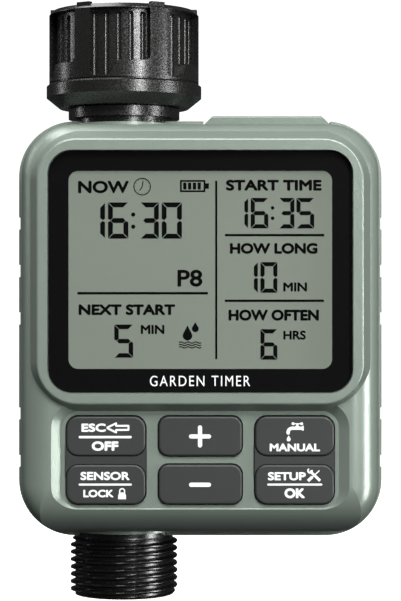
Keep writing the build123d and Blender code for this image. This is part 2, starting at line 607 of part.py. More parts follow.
def make_inlet():
    with BuildPart() as inlet_spigot:
        with BuildSketch(Plane.XZ):
            with BuildLine():
                Polyline((WATER_R, SPIGOT_TOP), (SPIGOT_FLANGE_R, SPIGOT_TOP),
                         (SPIGOT_FLANGE_R, -17.6), (SPIGOT_TUBE_R, -17.6),
                         (SPIGOT_TUBE_R, COLLAR_TOP), (COLLAR_R, COLLAR_TOP), (COLLAR_R, COLLAR_LOW),
                         (NECK_R, COLLAR_LOW), (NECK_R, -31.9), (10.6, -31.9), (10.6, -33.4),
                         (9.2, -33.4), (9.2, -35.6), (10.6, -35.6), (10.6, -38.0),
                         (WATER_R, -38.0), close=True)
            make_face()
        revolve(axis=Axis.Z)
    save(inlet_spigot, "inlet_spigot")

    with BuildPart() as inlet_oring:
        with BuildSketch(Plane.XZ):
            with Locations((9.93, -34.5)):
                Circle(0.72)
        revolve(axis=Axis.Z)
    save(inlet_oring, "inlet_oring")

    with BuildPart() as inlet_washer:
        rod_z(0, 0, 11.7, SPIGOT_TOP, -13.3)
        rod_z(0, 0, 8.4, SPIGOT_TOP - 1, -13, Mode.SUBTRACT)
    save(inlet_washer, "inlet_washer")

    with BuildPart() as filter_screen:
        rod_z(0, 0, 8.3, SPIGOT_TOP, -14.6)
        rod_z(0, 0, 6.5, -31.0, SPIGOT_TOP + 0.1)
        rod_z(0, 0, 5.7, -30.0, -14.0, Mode.SUBTRACT)
        # Rows of slots let the water through.
        for level in range(3):
            with PolarLocations(6.1, 12):
                with Locations((0, 0, -18.3 - 4.4 * level)):
                    Box(2.4, 1.3, 3.4, mode=Mode.SUBTRACT)
        with PolarLocations(3.6, 6):
            with Locations((0, 0, -31.5)):
                Cylinder(0.9, 3, align=LOW, mode=Mode.SUBTRACT)
    save(filter_screen, "filter_screen")


# ---- Valve ---------------------------------------------------------------------------------------
def make_valve():
    with BuildPart() as valve_body:
        rod_z(0, 0, VALVE_R, VALVE_LOW, -32.1)
        rod_y(0, VALVE_Z, 6.2, 0, BASE_Y[0])
        # A thinner pipe between the inlet socket and the ball chamber.
        with BuildSketch(Plane.XZ):
            with BuildLine():
                Polyline((10.0, -44.0), (VALVE_R + 1, -41.0), (VALVE_R + 1, -91.0),
                         (10.0, -88.0), close=True)
            make_face()
        revolve(axis=Axis.Z, mode=Mode.SUBTRACT)
        rod_z(0, 0, 10.68, -38.2, -30.0, Mode.SUBTRACT)
        rod_z(0, 0, WATER_R, -95.0, -38.0, Mode.SUBTRACT)
        rod_z(0, 0, CHAMBER_R, -126.0, -92.3, Mode.SUBTRACT)
        rod_y(0, VALVE_Z, STEM_BORE_R, 0, BASE_Y[0] + 1, Mode.SUBTRACT)
    save(valve_body, "valve_body")

    for name, near, far in (("ball_seat_upper", 5.2, 9.45), ("ball_seat_lower", -9.45, -5.2)):
        with BuildPart() as seat:
            rod_z(0, 0, CHAMBER_R - 0.06, VALVE_Z + near, VALVE_Z + far)
            rod_z(0, 0, BALL_BORE_R, VALVE_Z - 12, VALVE_Z + 12, Mode.SUBTRACT)
            with Locations((0, 0, VALVE_Z)):
                Sphere(BALL_R + 0.04, mode=Mode.SUBTRACT)
        save(seat, name)

    with BuildPart() as valve_ball:
        with Locations((0, 0, VALVE_Z)):
            Sphere(BALL_R)
        # Shut at rest: the water passage lies across the pipe.
        with Locations(Location((0, 0, VALVE_Z), (0, 90, 0))):
            Cylinder(BALL_BORE_R, 20, mode=Mode.SUBTRACT)
        block((-5.0, 5.0), (5.7, 9.0), (VALVE_Z - 1.25, VALVE_Z + 1.25), Mode.SUBTRACT)
    save(valve_ball, "valve_ball")

    with BuildPart() as valve_stem:
        block((-2.6, 2.6), (5.8, 8.6), (VALVE_Z - 1.2, VALVE_Z + 1.2))
        rod_y(0, VALVE_Z, STEM_R, 8.3, LAYER_3[0])
        rod_y(0, VALVE_Z, 2.0, LAYER_3[0] - 0.5, LAYER_3[1])
        block((-3, 3), (LAYER_3[0], LAYER_3[1] + 1), (VALVE_Z + 1.4, VALVE_Z + 3), Mode.SUBTRACT)
        with BuildSketch(Plane.XY.offset(VALVE_Z)):
            with Locations((3.0, 11.2)):
                Rectangle(1.7, 1.5)
        revolve(axis=Axis((0, 0, VALVE_Z), (0, 1, 0)), mode=Mode.SUBTRACT)
    save(valve_stem, "valve_stem")

    with BuildPart() as stem_oring:
        with BuildSketch(Plane.XY.offset(VALVE_Z)):
            with Locations((2.62, 11.2)):
                Circle(0.42)
        revolve(axis=Axis((0, 0, VALVE_Z), (0, 1, 0)))
    save(stem_oring, "stem_oring")

    with BuildPart() as outlet_spigot:
        with BuildSketch(Plane.XZ):
            with BuildLine():
                Polyline((OUTLET_BORE_R, -111.3), (CHAMBER_R - 0.08, -111.3),
                         (CHAMBER_R - 0.08, -116.0), (8.7, -116.0), (8.7, -118.2),
                         (CHAMBER_R - 0.08, -118.2), (CHAMBER_R - 0.08, VALVE_LOW),
                         (VALVE_R, VALVE_LOW), (VALVE_R, FLANGE_LOW),
                         (BAND_R, FLANGE_LOW), (BAND_R, -130.9),
                         (MALE_R, FIRST_CREST + 0.3), (MALE_R, -143.1),
                         (12.2, OUTLET_END), (OUTLET_BORE_R + 0.6, OUTLET_END),
                         (OUTLET_BORE_R, OUTLET_END + 0.6), close=True)
            make_face()
        revolve(axis=Axis.Z)
        for turn in range(CRESTS):
            mid = FIRST_CREST - PITCH * (turn + 0.5)
            with BuildSketch(Plane.XZ):
                with BuildLine():
                    Polyline((MALE_R + 0.4, mid + THREAD_OPEN), (MALE_R, mid + THREAD_OPEN),
                             (MINOR_R, mid + THREAD_ROOT), (MINOR_R, mid - THREAD_ROOT),
                             (MALE_R, mid - THREAD_OPEN), (MALE_R + 0.4, mid - THREAD_OPEN),
                             close=True)
                make_face()
            revolve(axis=Axis.Z, mode=Mode.SUBTRACT)
    save(outlet_spigot, "outlet_spigot")

    with BuildPart() as outlet_oring:
        with BuildSketch(Plane.XZ):
            with Locations((9.44, -117.1)):
                Circle(0.72)
        revolve(axis=Axis.Z)
    save(outlet_oring, "outlet_oring")


# ---- Gear train ----------------------------------------------------------------------------------
def involute(angle):
    return tan(angle) - angle


def tooth_points(teeth, centre):
    """Outline of one involute tooth around the bearing `centre`, from root to tip and back."""
    pitch_r = MODULE * teeth / 2
    base_r = pitch_r * cos(radians(PRESSURE_ANGLE))
    tip_r = pitch_r + ADDENDUM * MODULE
    root_r = pitch_r - DEDENDUM * MODULE
    half = pi / (2 * teeth) - BACKLASH / (4 * pitch_r)
    start_r = max(base_r, root_r)
    flank = [(root_r, half + involute(radians(PRESSURE_ANGLE)))] if root_r < base_r else []
    for step in range(5):
        r = start_r + (tip_r - start_r) * step / 4
        flank.append((r, half + involute(radians(PRESSURE_ANGLE)) - involute(acos(base_r / r))))
    left = [(r * cos(centre - a), r * sin(centre - a)) for r, a in flank]
    right = [(r * cos(centre + a), r * sin(centre + a)) for r, a in reversed(flank)]
    return left + right


def gear_face(teeth, x, y, turn):
    """A full gear outline, seen from the front, at depth y."""
    outline = []
    for number in range(teeth):
        outline += tooth_points(teeth, radians(turn) + 2 * pi * number / teeth)
    with BuildSketch(facing(x, y, VALVE_Z)) as face:
        with BuildLine():
            Polyline(*outline, close=True)
        make_face()
    return face.sketch


def make_gears():
    half_tooth = 180.0 / PINION_T
    with BuildPart() as output_gear:
        extrude(gear_face(OUTPUT_T, 0, LAYER_3[0], 0), amount=LAYER_3[0] - LAYER_3[1])
        rod_y(0, VALVE_Z, 2.0, LAYER_3[0] - 1, LAYER_3[1] + 1, Mode.SUBTRACT)
        block((-2, 2), LAYER_3, (VALVE_Z + 1.4, VALVE_Z + 2.1))
        for spoke in range(6):
            bearing = radians(30 + 60 * spoke)
            rod_y(6.4 * cos(bearing), VALVE_Z + 6.4 * sin(bearing), 1.7, LAYER_3[0] - 1,
                  LAYER_3[1] + 1, Mode.SUBTRACT)
    save(output_gear, "output_gear")

    for name, x, wheel, pinion in (("gear_b", GEAR_B_X, LAYER_2, LAYER_3),
                                   ("gear_a", GEAR_A_X, LAYER_1, LAYER_2)):
        with BuildPart() as gear:
            extrude(gear_face(WHEEL_T, x, wheel[0], 0), amount=wheel[0] - wheel[1])
            extrude(gear_face(PINION_T, x, wheel[1] - 0.1, half_tooth),
                    amount=wheel[1] - 0.1 - pinion[1])
            rod_y(x, VALVE_Z, PIN_R + 0.05, wheel[0] - 1, pinion[1] + 1, Mode.SUBTRACT)
            for spoke in range(5):
                bearing = radians(72 * spoke + 36)
                rod_y(x + 5.6 * cos(bearing), VALVE_Z + 5.6 * sin(bearing), 1.5,
                      wheel[0] - 1, wheel[1] + 1, Mode.SUBTRACT)
        save(gear, name)

    with BuildPart() as gear_pins:
        rod_y(GEAR_B_X, VALVE_Z, PIN_R, BASE_Y[0], COVER_END_Y - 0.2)
        rod_y(GEAR_A_X, VALVE_Z, PIN_R, BASE_Y[0], COVER_END_Y - 0.2)
    save(gear_pins, "gear_pins")

    with BuildPart() as motor_pinion:
        extrude(gear_face(PINION_T, MOTOR_X, LAYER_1[0], half_tooth),
                amount=LAYER_1[0] - LAYER_1[1])
        rod_y(MOTOR_X, VALVE_Z, 0.95, LAYER_1[0] - 1, LAYER_1[1] + 1, Mode.SUBTRACT)
    save(motor_pinion, "motor_pinion")

    with BuildPart() as motor_shaft:
        rod_y(MOTOR_X, VALVE_Z, 0.95, MOTOR_Y[0] + 2.0, LAYER_1[1] + 0.3)
    save(motor_shaft, "motor_shaft")

    with BuildPart() as motor_can:
        rod_y(MOTOR_X, VALVE_Z, MOTOR_R, MOTOR_Y[0] + 2.5, MOTOR_Y[1])
        rod_y(MOTOR_X, VALVE_Z, 2.4, MOTOR_Y[1] - 0.1, MOTOR_Y[1] + 1.0)
        rod_y(MOTOR_X, VALVE_Z, MOTOR_R - 0.8, MOTOR_Y[0], MOTOR_Y[1] - 1.2, Mode.SUBTRACT)
        rod_y(MOTOR_X, VALVE_Z, 1.0, MOTOR_Y[1] - 2, MOTOR_Y[1] + 2, Mode.SUBTRACT)
    save(motor_can, "motor_can")

    with BuildPart() as motor_end:
        rod_y(MOTOR_X, VALVE_Z, MOTOR_R - 0.2, MOTOR_Y[0], MOTOR_Y[0] + 2.5)
        rod_y(MOTOR_X, VALVE_Z, MOTOR_R - 0.85, MOTOR_Y[0] + 2.4, MOTOR_Y[0] + 4.5)
        rod_y(MOTOR_X, VALVE_Z, 1.0, MOTOR_Y[0] + 1.5, MOTOR_Y[0] + 6, Mode.SUBTRACT)
        for side in (-4.0, 4.0):
            block((MOTOR_X + side - 0.9, MOTOR_X + side + 0.9),
                  (MOTOR_Y[0] - 1.6, MOTOR_Y[0] + 0.5), (VALVE_Z - 0.2, VALVE_Z + 0.2))
    save(motor_end, "motor_end")


GEARBOX_LUGS = [(12.0, 14.7), (12.0, -14.7), (44.2, 0.0)]


def gearbox_outline(grow, y):
    """The outline round the whole gear line, larger by `grow`."""
    with BuildSketch(facing(0, y, VALVE_Z)) as outline:
        Circle(11.9 + grow)
        with Locations((GEAR_A_X, 0)):
            Circle(10.0 + grow)
        with Locations((MOTOR_X, 0)):
            Circle(4.4 + grow)
        make_hull()
    return outline.sketch


def make_gearbox():
    with BuildPart() as gearbox_base:
        extrude(gearbox_outline(1.1, BASE_Y[0]), amount=BASE_Y[0] - BASE_Y[1])
        for lug_x, lug_z in GEARBOX_LUGS:
            rod_y(lug_x, VALVE_Z + lug_z, 2.8, BASE_Y[0], BASE_Y[1])
        # A collar holds the nose of the motor.
        rod_y(MOTOR_X, VALVE_Z, MOTOR_R + 1.2, 9.0, BASE_Y[1])
        rod_y(MOTOR_X, VALVE_Z, MOTOR_R + 0.05, 8.0, BASE_Y[0], Mode.SUBTRACT)
        rod_y(MOTOR_X, VALVE_Z, 3.3, 8.0, BASE_Y[1] + 1, Mode.SUBTRACT)
        rod_y(0, VALVE_Z, STEM_R + 0.3, 8.0, BASE_Y[1] + 1, Mode.SUBTRACT)
        for pin_x in (GEAR_B_X, GEAR_A_X):
            rod_y(pin_x, VALVE_Z, PIN_R + 0.02, 8.0, BASE_Y[1] + 1, Mode.SUBTRACT)
        for lug_x, lug_z in GEARBOX_LUGS:
            rod_y(lug_x, VALVE_Z + lug_z, 1.02, 8.0, BASE_Y[1] + 1, Mode.SUBTRACT)
    save(gearbox_base, "gearbox_base")

    with BuildPart() as gearbox_cover:
        extrude(gearbox_outline(1.1, BASE_Y[1]), amount=BASE_Y[1] - COVER_END_Y)
        for lug_x, lug_z in GEARBOX_LUGS:
            rod_y(lug_x, VALVE_Z + lug_z, 2.8, BASE_Y[1], 18.0)
        extrude(gearbox_outline(0.0, BASE_Y[1] - 1), amount=BASE_Y[1] - 1 - LAYER_3[1] - 0.3,
                mode=Mode.SUBTRACT)
        for pin_x in (GEAR_B_X, GEAR_A_X):
            rod_y(pin_x, VALVE_Z, PIN_R + 0.02, LAYER_3[1], COVER_END_Y - 0.2, Mode.SUBTRACT)
        for lug_x, lug_z in GEARBOX_LUGS:
            rod_y(lug_x, VALVE_Z + lug_z, 1.02, BASE_Y[1] - 1, 19.0, Mode.SUBTRACT)
    save(gearbox_cover, "gearbox_cover")

    with BuildPart() as gearbox_screws:
        for lug_x, lug_z in GEARBOX_LUGS:
            rod_y(lug_x, VALVE_Z + lug_z, 1.0, BASE_Y[0], 18.0)
            rod_y(lug_x, VALVE_Z + lug_z, 1.9, 18.0, 19.3)
    save(gearbox_screws, "gearbox_screws")


# ---- Power ---------------------------------------------------------------------------------------
def make_power():
    tray_top = LID_LOW - 2.0
    tray_low = WELL_FLOOR + 1.4
    with BuildPart() as battery_drawer:
        with Locations((DRAWER_X, sum(LID_Y) / 2, LID_LOW)):
            Box(LID_W, LID_Y[1] - LID_Y[0], LID_TOP - LID_LOW, align=LOW)
        lid_ends = battery_drawer.faces().sort_by(Axis.Z)[-1].edges().filter_by(Axis.Y)
        chamfer(lid_ends, 1.9)
        fillet(battery_drawer.faces().sort_by(Axis.Z)[-1].edges(), 0.4)
        block((DRAWER_X - DRAWER_W / 2, DRAWER_X + DRAWER_W / 2), DRAWER_Y, (tray_top, LID_LOW))
        block((DRAWER_X - DRAWER_W / 2, DRAWER_X + DRAWER_W / 2), (3.4, DRAWER_Y[1]),
              (tray_low, tray_top))
        for side in (-1, 1):
            rod_z(DRAWER_X + side * CELL_X, CELL_Y, CELL_R + 0.1, tray_low + 1.2, tray_top,
                  Mode.SUBTRACT)
            rod_z(DRAWER_X + side * CELL_X, CELL_Y, 4.6, tray_low - 1, tray_low + 2,
                  Mode.SUBTRACT)
        # Room for the bridge that joins the two upper cell ends.
        block((DRAWER_X - 12.4, DRAWER_X + 12.4), (3.0, CELL_Y + 3.2), (CELL_TOP, tray_top),
              Mode.SUBTRACT)
        # Groove for the lid seal.
        with BuildSketch(Plane.XY.offset(LID_LOW - 1.4)):
            with Locations((DRAWER_X, sum(DRAWER_Y) / 2)):
                Rectangle(DRAWER_W + 2, DRAWER_Y[1] - DRAWER_Y[0] + 2)
                Rectangle(DRAWER_W - 1.6, DRAWER_Y[1] - DRAWER_Y[0] - 1.6, mode=Mode.SUBTRACT)
        extrude(amount=1.0, mode=Mode.SUBTRACT)
    save(battery_drawer, "battery_drawer")

    with BuildPart() as battery_lid_seal:
        with BuildSketch(Plane.XY.offset(LID_LOW - 1.4)):
            with Locations((DRAWER_X, sum(DRAWER_Y) / 2)):
                Rectangle(DRAWER_W + 0.3, DRAWER_Y[1] - DRAWER_Y[0] + 0.3)
                Rectangle(DRAWER_W - 1.6, DRAWER_Y[1] - DRAWER_Y[0] - 1.6, mode=Mode.SUBTRACT)
        extrude(amount=1.0)
    save(battery_lid_seal, "battery_lid_seal")

    # One cell stands nub up and the other nub down.
    for name, side, nub_up in (("cell_left", -1, True), ("cell_right", 1, False)):
        x = DRAWER_X + side * CELL_X
        cell_low = CELL_TOP - CELL_L
        nub = 1.2
        with BuildPart() as cell:
            if nub_up:
                rod_z(x, CELL_Y, CELL_R, cell_low, CELL_TOP - nub)
                fillet(cell.edges().filter_by(GeomType.CIRCLE), 0.6)
                rod_z(x, CELL_Y, 2.7, CELL_TOP - nub - 0.5, CELL_TOP)
            else:
                rod_z(x, CELL_Y, CELL_R, cell_low + nub, CELL_TOP)
                fillet(cell.edges().filter_by(GeomType.CIRCLE), 0.6)
                rod_z(x, CELL_Y, 2.7, cell_low, cell_low + nub + 0.5)
        save(cell, name)

    with BuildPart() as contact_bridge:
        block((DRAWER_X - 12.3, DRAWER_X + 12.3), (CELL_Y - 3, CELL_Y + 3),
              (CELL_TOP + 0.05, CELL_TOP + 0.35))
        for side in (-1, 1):
            rod_z(DRAWER_X + side * 11.5, CELL_Y, 0.8, CELL_TOP + 0.3, tray_top)
    save(contact_bridge, "contact_bridge")

    coils = []
    for side in (-1, 1):
        x = DRAWER_X + side * CELL_X
        with BuildPart() as coil:
            with BuildLine() as wire:
                Helix(pitch=0.8, height=2.4, radius=3.2, center=(x, CELL_Y, WELL_FLOOR + 0.35))
            with BuildSketch(Plane(origin=wire.line @ 0, z_dir=wire.line % 0)):
                Circle(0.28)
            sweep(is_frenet=True)
        coils.append(coil)
    with BuildPart() as contact_springs:
        for coil in coils:
            add(coil.part)
    save(contact_springs, "contact_springs")


make_front_shell()
make_rear_shell()
make_housing_seal()
make_housing_screws()
make_display()
make_board()
make_keypad()
make_inlet_nut()
make_inlet()
make_valve()
make_gears()
make_gearbox()
make_power()
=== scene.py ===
import json
from math import cos, pi, radians, sin, sqrt

import bmesh
import bpy
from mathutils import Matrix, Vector


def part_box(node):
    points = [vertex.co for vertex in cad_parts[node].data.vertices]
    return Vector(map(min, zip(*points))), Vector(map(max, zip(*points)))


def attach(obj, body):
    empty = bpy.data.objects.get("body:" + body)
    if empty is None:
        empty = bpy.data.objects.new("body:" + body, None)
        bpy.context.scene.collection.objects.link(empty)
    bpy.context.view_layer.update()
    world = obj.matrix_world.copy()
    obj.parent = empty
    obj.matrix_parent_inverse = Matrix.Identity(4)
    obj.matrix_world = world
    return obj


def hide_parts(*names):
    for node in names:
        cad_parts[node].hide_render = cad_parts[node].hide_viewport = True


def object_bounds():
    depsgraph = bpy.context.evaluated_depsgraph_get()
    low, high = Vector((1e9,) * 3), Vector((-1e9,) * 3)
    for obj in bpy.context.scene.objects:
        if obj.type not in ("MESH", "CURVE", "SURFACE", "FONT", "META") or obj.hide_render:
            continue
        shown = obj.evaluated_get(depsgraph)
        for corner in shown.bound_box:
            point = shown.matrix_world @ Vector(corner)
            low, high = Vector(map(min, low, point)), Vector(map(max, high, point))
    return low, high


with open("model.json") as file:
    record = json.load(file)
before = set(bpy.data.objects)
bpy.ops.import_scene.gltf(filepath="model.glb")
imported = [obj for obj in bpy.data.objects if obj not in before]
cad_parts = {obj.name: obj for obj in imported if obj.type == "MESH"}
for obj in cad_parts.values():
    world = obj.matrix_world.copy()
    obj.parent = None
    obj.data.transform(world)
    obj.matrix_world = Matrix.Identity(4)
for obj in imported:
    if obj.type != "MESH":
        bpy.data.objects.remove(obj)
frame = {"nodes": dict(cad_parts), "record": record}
cad_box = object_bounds()
NODES = frame["nodes"]

# Lengths are in mm where they are written and multiplied by MM, except for the camera's distance,
# the lights and the floor, which are in metres. The origin is on the water line at the nut's top.
MM = 0.001
BODY_X = 18.9  # middle of the housing, to the right of the water line
EYE_Z = -71.8

# ---------------------------------------------------------------- camera
FOCAL_LENGTH = 120.8
EYE_X = BODY_X + 0.05
EYE_DISTANCE = 0.5

camera_data = bpy.data.cameras.new("camera")
camera_data.lens = FOCAL_LENGTH
camera_data.sensor_width = 36
camera_data.sensor_fit = "AUTO"
camera_data.clip_start = 0.01
camera_data.clip_end = 20
camera = bpy.data.objects.new("camera", camera_data)
camera.location = (EYE_X * MM, -EYE_DISTANCE, EYE_Z * MM)
camera.rotation_euler = (radians(90), 0, 0)
bpy.context.collection.objects.link(camera)
bpy.context.scene.camera = camera


# ---------------------------------------------------------------- materials
MIX_FACTOR, MIX_A, MIX_B, MIX_RESULT = 0, 6, 7, 2  # colour sockets of the Mix node
NOISE_LOW, NOISE_HIGH = 0.3, 0.7  # most of a noise texture lies between these


def srgb(r, g, b):
    """A linear colour from its 0 to 255 screen values."""
    out = []
    for v in (r, g, b):
        v = v / 255
        out.append(v / 12.92 if v <= 0.04045 else ((v + 0.055) / 1.055) ** 2.4)
    return (*out, 1.0)


def material(name, base, rough, grain_mm=0.3, grain_depth=0.01, rough_vary=0.06, tone_vary=0.06,
             tone_mm=6.0, **sockets):
    """Moulded or machined surface: fine grain in the bump, slow drift in tone and roughness."""
    mat = bpy.data.materials.new(name)
    mat.use_nodes = True
    tree = mat.node_tree
    shader = tree.nodes["Principled BSDF"]
    for socket, value in sockets.items():
        shader.inputs[socket.replace("_", " ")].default_value = value
    coord = tree.nodes.new("ShaderNodeTexCoord")

    def noise(size_mm, detail):
        node = tree.nodes.new("ShaderNodeTexNoise")
        node.inputs["Scale"].default_value = 1000.0 / size_mm  # features per metre
        node.inputs["Detail"].default_value = detail
        tree.links.new(coord.outputs["Object"], node.inputs["Vector"])
        return node

    grain = noise(grain_mm, 3.0)
    drift = noise(tone_mm, 4.0)
    bump = tree.nodes.new("ShaderNodeBump")
    bump.inputs["Strength"].default_value = 1.0
    bump.inputs["Distance"].default_value = grain_depth * MM
    tree.links.new(grain.outputs["Fac"], bump.inputs["Height"])
    tree.links.new(bump.outputs["Normal"], shader.inputs["Normal"])
    tone = tree.nodes.new("ShaderNodeMix")
    tone.data_type = "RGBA"
    dark = [c * (1 - tone_vary) for c in base[:3]] + [1.0]
    light = [min(1, c * (1 + tone_vary)) for c in base[:3]] + [1.0]
    tone.inputs[MIX_A].default_value = dark
    tone.inputs[MIX_B].default_value = light
    tree.links.new(drift.outputs["Fac"], tone.inputs[MIX_FACTOR])
    tree.links.new(tone.outputs[MIX_RESULT], shader.inputs["Base Color"])
    spread = tree.nodes.new("ShaderNodeMapRange")
    spread.inputs["From Min"].default_value = NOISE_LOW
    spread.inputs["From Max"].default_value = NOISE_HIGH
    spread.inputs["To Min"].default_value = max(0.0, rough - rough_vary)
    spread.inputs["To Max"].default_value = min(1.0, rough + rough_vary)
    tree.links.new(grain.outputs["Fac"], spread.inputs["Value"])
    tree.links.new(spread.outputs["Result"], shader.inputs["Roughness"])
    return mat


PEARL = {"grain_mm": 0.42, "grain_depth": 0.014, "rough_vary": 0.08, "tone_vary": 0.05,
         "Metallic": 0.35}
GREEN = material("green_pearl", srgb(137, 149, 139), 0.36, **PEARL)
# The battery lid's green: a darker copy of the shell green, painted shade for the lid's face.
LID_PAINTED_SHADE_GREEN = material("green_pearl_lid_painted_shade", srgb(124, 135, 126), 0.38, **PEARL)
BLACK = material("black_grained", srgb(24, 24, 23), 0.26, grain_mm=0.42, grain_depth=0.034,
                 rough_vary=0.10, tone_vary=0.15, Specular_IOR_Level=0.85)
BLACK_SMOOTH = material("black_smooth", srgb(13, 13, 12), 0.30, grain_mm=0.6, grain_depth=0.012,
                        tone_vary=0.1, Specular_IOR_Level=0.7)
KEY = material("key_silicone", srgb(52, 54, 53), 0.42, grain_mm=0.35, grain_depth=0.008,
               tone_vary=0.04)
SEAL = material("seal_rubber", srgb(30, 30, 30), 0.6, grain_mm=0.3, grain_depth=0.01)
STEEL = material("plated_steel", srgb(190, 190, 192), 0.28, grain_mm=0.1, grain_depth=0.003,
                 Metallic=1.0)
BALL = material("polished_ball", srgb(215, 214, 210), 0.1, grain_mm=0.4, grain_depth=0.001,
                rough_vary=0.03, Metallic=1.0)
BRASS = material("machined_brass", srgb(205, 170, 100), 0.3, grain_mm=0.15, grain_depth=0.002,
                 Metallic=1.0)
NYLON = material("natural_nylon", srgb(226, 222, 208), 0.42, grain_mm=0.3, grain_depth=0.006)
BOARD = material("board_green", srgb(24, 92, 52), 0.3, grain_mm=0.6, grain_depth=0.004,
                 tone_vary=0.2)
WRAP = material("cell_wrap", srgb(96, 104, 112), 0.25, grain_mm=0.4, grain_depth=0.002)
LCD = material("lcd_grey_green", srgb(127, 135, 124), 0.3, grain_mm=0.12, grain_depth=0.001,
               rough_vary=0.03, tone_vary=0.03, tone_mm=25.0)
SEGMENT = material("lcd_segment", srgb(8, 9, 8), 0.2, grain_mm=0.1, grain_depth=0.0005,
                   tone_vary=0.1, Specular_IOR_Level=0.12)
INK = material("black_ink", srgb(12, 12, 13), 0.2, grain_mm=0.6, grain_depth=0.0005,
               rough_vary=0.03, tone_vary=0.1, Specular_IOR_Level=0.2)
PRINT = material("white_print", srgb(246, 246, 246), 0.5, grain_mm=0.1, grain_depth=0.002,
                 tone_vary=0.02)
LENS = material("clear_lens", srgb(16, 16, 18), 0.05, grain_mm=2.0, grain_depth=0.0004,
                rough_vary=0.02, Alpha=0.08)

LOOKS = {
    "green_shell": GREEN, "black_plastic": BLACK, "key_rubber": KEY, "seal_rubber": SEAL,
    "steel": STEEL, "clear_window": LENS, "lcd_glass": LCD, "white_plastic": NYLON,
    "board_laminate": BOARD, "polished_ball": BALL, "brass_stem": BRASS, "cell_wrap": WRAP,
}
for entry in frame["record"]["subparts"]:
    node = NODES[entry["node"]]
    node.data.materials.clear()
    node.data.materials.append(LOOKS[entry["material_slot"]])
NODES["battery_drawer"].data.materials[0] = LID_PAINTED_SHADE_GREEN  # the same plastic as the shell; its darker copy of the green is painted shade on the lid's face


# ---------------------------------------------------------------- flat print and display marks
MARK_THICK = 0.03
LAYER_STEP = 0.0006  # marks that overlap lie this far apart, so that no two faces share a plane
LAYERS = 12
JOINT_FIT = 0.98  # the disc at a bend is a little narrower than the line


def finished(name, bm):
    """A mesh from the built faces, all turned outwards."""
    bmesh.ops.recalc_face_normals(bm, faces=bm.faces)
    mesh = bpy.data.meshes.new(name)
    bm.to_mesh(mesh)
    bm.free()
    return mesh


def link(name, mesh, mat, body):
    """A piece with its material, riding on its body."""
    piece = bpy.data.objects.new(name, mesh)
    bpy.context.collection.objects.link(piece)
    mesh.materials.append(mat)
    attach(piece, body)
    return piece


def plate(name, loops, y, mat, body, thick=MARK_THICK):
    """Flat marks: each loop is a list of (x, z) corners, raised from depth y towards the front."""
    bm = bmesh.new()
    for number, loop in enumerate(loops):
        shift = LAYER_STEP * (number % LAYERS)
        low = [bm.verts.new((x * MM, (y - shift) * MM, z * MM)) for x, z in loop]
        top = [bm.verts.new((x * MM, (y - thick - shift) * MM, z * MM)) for x, z in loop]
        bm.faces.new(top)
        bm.faces.new(low[::-1])
        for i in range(len(loop)):
            j = (i + 1) % len(loop)
            bm.faces.new((low[i], low[j], top[j], top[i]))
    return link(name, finished(name, bm), mat, body)


def bar(x0, x1, z0, z1):
    return [(x0, z0), (x1, z0), (x1, z1), (x0, z1)]


def pill(x0, x1, z0, z1):
    """A bar with round ends."""
    r = min(x1 - x0, z1 - z0) / 2
    points = []
    for cx, cz, start in ((x1 - r, z1 - r, 0), (x0 + r, z1 - r, 90), (x0 + r, z0 + r, 180),
                          (x1 - r, z0 + r, 270)):
        for step in range(7):
            a = radians(start + 15 * step)
            points.append((cx + r * cos(a), cz + r * sin(a)))
    return points


def disc(cx, cz, r, steps=24):
    return [(cx + r * cos(2 * pi * i / steps), cz + r * sin(2 * pi * i / steps))
            for i in range(steps)]


def stroke(points, width):
    """A bent line: a quad for every run, and a disc at every bend."""
    loops = []
    for (x0, z0), (x1, z1) in zip(points, points[1:]):
        length = sqrt((x1 - x0) ** 2 + (z1 - z0) ** 2)
        nx, nz = -(z1 - z0) / length * width / 2, (x1 - x0) / length * width / 2
        loops.append([(x0 + nx, z0 + nz), (x0 - nx, z0 - nz), (x1 - nx, z1 - nz),
                      (x1 + nx, z1 + nz)])
    for x, z in points[1:-1]:
        loops.append(disc(x, z, width / 2 * JOINT_FIT, 10))
    return loops


def arc(cx, cz, r, start, end, steps=16):
    return [(cx + r * cos(radians(start + (end - start) * i / steps)),
             cz + r * sin(radians(start + (end - start) * i / steps))) for i in range(steps + 1)]


def ring(outer, inner):
    """Quads that fill the band between two outlines with the same number of corners."""
    size = len(outer)
    return [[outer[i], outer[(i + 1) % size], inner[(i + 1) % size], inner[i]]
            for i in range(size)]


def words(name, text, x0, x1, z0, z1, y, mat, body, bold=0.0, thick=MARK_THICK,
          spacing=1.0):
    """Lettering whose capitals fill the given box, thickened by `bold` mm all round."""
    curve = bpy.data.curves.new(name, "FONT")
    curve.body = text
    curve.size = 1.0
    curve.resolution_u = 4
    curve.space_character = spacing
    probe = bpy.data.objects.new(name, curve)
    bpy.context.collection.objects.link(probe)
    bpy.context.view_layer.update()
    flat = bpy.data.meshes.new_from_object(probe.evaluated_get(
        bpy.context.evaluated_depsgraph_get()))
    bpy.data.objects.remove(probe)
    corners = [v.co.copy() for v in flat.vertices]
    faces = [tuple(p.vertices) for p in flat.polygons]
    left, right = min(c.x for c in corners), max(c.x for c in corners)
    low, high = min(c.y for c in corners), max(c.y for c in corners)
    kx = (x1 - x0 - 2 * bold) / (right - left)
    kz = (z1 - z0 - 2 * bold) / (high - low)
    moves = [(0, 0)] + [(bold * cos(pi * i / 4), bold * sin(pi * i / 4)) for i in range(8)]
    bm = bmesh.new()
    for number, (dx, dz) in enumerate(moves if bold else moves[:1]):
        depth = y - thick - LAYER_STEP * number
        verts = [bm.verts.new(((x0 + bold + (c.x - left) * kx + dx) * MM, depth * MM,
                               (z0 + bold + (c.y - low) * kz + dz) * MM)) for c in corners]
        for face in faces:
            bm.faces.new([verts[i] for i in face])
    return link(name, finished(name, bm), mat, body)


SEGMENTS = {"0": "abcdef", "1": "bc", "3": "abcdg", "5": "acdfg", "6": "acdefg"}


